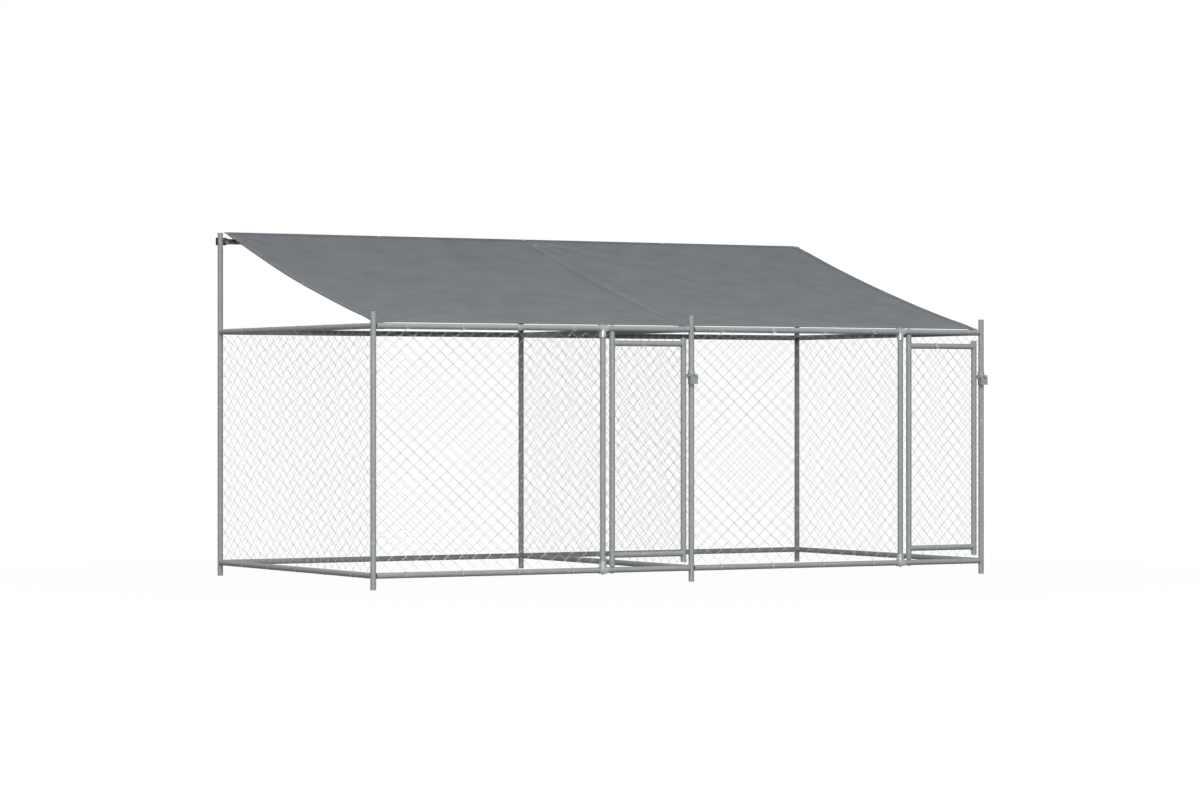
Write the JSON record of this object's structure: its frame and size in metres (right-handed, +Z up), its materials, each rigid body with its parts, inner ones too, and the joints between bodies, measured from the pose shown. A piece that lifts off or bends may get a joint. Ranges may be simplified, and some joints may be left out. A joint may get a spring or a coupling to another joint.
{
  "type": "dog_kennel_run",
  "caption": "Outdoor dog kennel run in galvanised tube and chain-link net, with a swinging bolted door to each bay and a sloping grey tarpaulin roof",
  "frame": {"origin": "on the floor under the middle of the run's box", "axes": "+X along the length, +Z up, the doors face -Y"},
  "size_m": [4.054, 2.0704, 2.0032],
  "materials": {
    "galvanised_tube": "satin",
    "zinc_fitting": "satin",
    "net_wire": "satin",
    "tarp": "matte",
    "tie_strap": "matte",
    "black_plastic": "matte",
    "nylon": "matte"
  },
  "bodies": {
    "frame": {"post_front_left": "galvanised_tube", "post_front_mid": "galvanised_tube", "post_front_right": "galvanised_tube", "post_back_left": "galvanised_tube", "post_back_mid": "galvanised_tube", "post_back_right": "galvanised_tube", "side_left_top_rail": "galvanised_tube", "side_left_bottom_rail": "galvanised_tube", "side_right_top_rail": "galvanised_tube", "side_right_bottom_rail": "galvanised_tube", "divider_top_rail": "galvanised_tube", "divider_bottom_rail": "galvanised_tube", "back_left_top_rail": "galvanised_tube", "back_left_bottom_rail": "galvanised_tube", "back_right_top_rail": "galvanised_tube", "back_right_bottom_rail": "galvanised_tube", "front_left_top_rail": "galvanised_tube", "front_left_bottom_rail": "galvanised_tube", "front_right_top_rail": "galvanised_tube", "front_right_bottom_rail": "galvanised_tube", "roof_rail_left": "galvanised_tube", "roof_rail_right": "galvanised_tube", "roof_clips": "black_plastic", "rail_joints": "zinc_fitting", "stud_left": "galvanised_tube", "stud_right": "galvanised_tube", "tee_fittings": "zinc_fitting", "set_bolts": "zinc_fitting", "hinge_pins": "zinc_fitting", "net_side_left": "net_wire", "net_side_right": "net_wire", "net_divider": "net_wire", "net_back_left": "net_wire", "net_back_right": "net_wire", "net_front_left": "net_wire", "net_front_right": "net_wire", "net_ties": "net_wire", "latch_housing_left": "galvanised_tube", "latch_housing_right": "galvanised_tube", "roof_tarp": "tarp", "tarp_ties": "tie_strap"},
    "door_left": {"door_left_hinge_stile": "galvanised_tube", "door_left_latch_stile": "galvanised_tube", "door_left_top_rail": "galvanised_tube", "door_left_bottom_rail": "galvanised_tube", "door_left_net": "net_wire", "door_left_ties": "net_wire", "door_left_bushes": "nylon", "door_left_keeper": "zinc_fitting"},
    "door_right": {"door_right_hinge_stile": "galvanised_tube", "door_right_latch_stile": "galvanised_tube", "door_right_top_rail": "galvanised_tube", "door_right_bottom_rail": "galvanised_tube", "door_right_net": "net_wire", "door_right_ties": "net_wire", "door_right_bushes": "nylon", "door_right_keeper": "zinc_fitting"},
    "bolt_left": {"bolt_left": "zinc_fitting"},
    "bolt_right": {"bolt_right": "zinc_fitting"}
  },
  "joints": [
    {"name": "door_left_swing", "type": "hinge", "parent": "frame", "child": "door_left", "pos_m": [-0.516, -0.99175, 0.75], "axis": [0, 0, -1], "range_deg": [0, 120]},
    {"name": "door_right_swing", "type": "hinge", "parent": "frame", "child": "door_right", "pos_m": [1.484, -0.99175, 0.75], "axis": [0, 0, -1], "range_deg": [0, 120]},
    {"name": "bolt_left_slide", "type": "slide", "parent": "frame", "child": "bolt_left", "axis": [-1, 0, 0], "range_m": [0, 0.016]},
    {"name": "bolt_right_slide", "type": "slide", "parent": "frame", "child": "bolt_right", "axis": [-1, 0, 0], "range_m": [0, 0.016]}
  ]
}
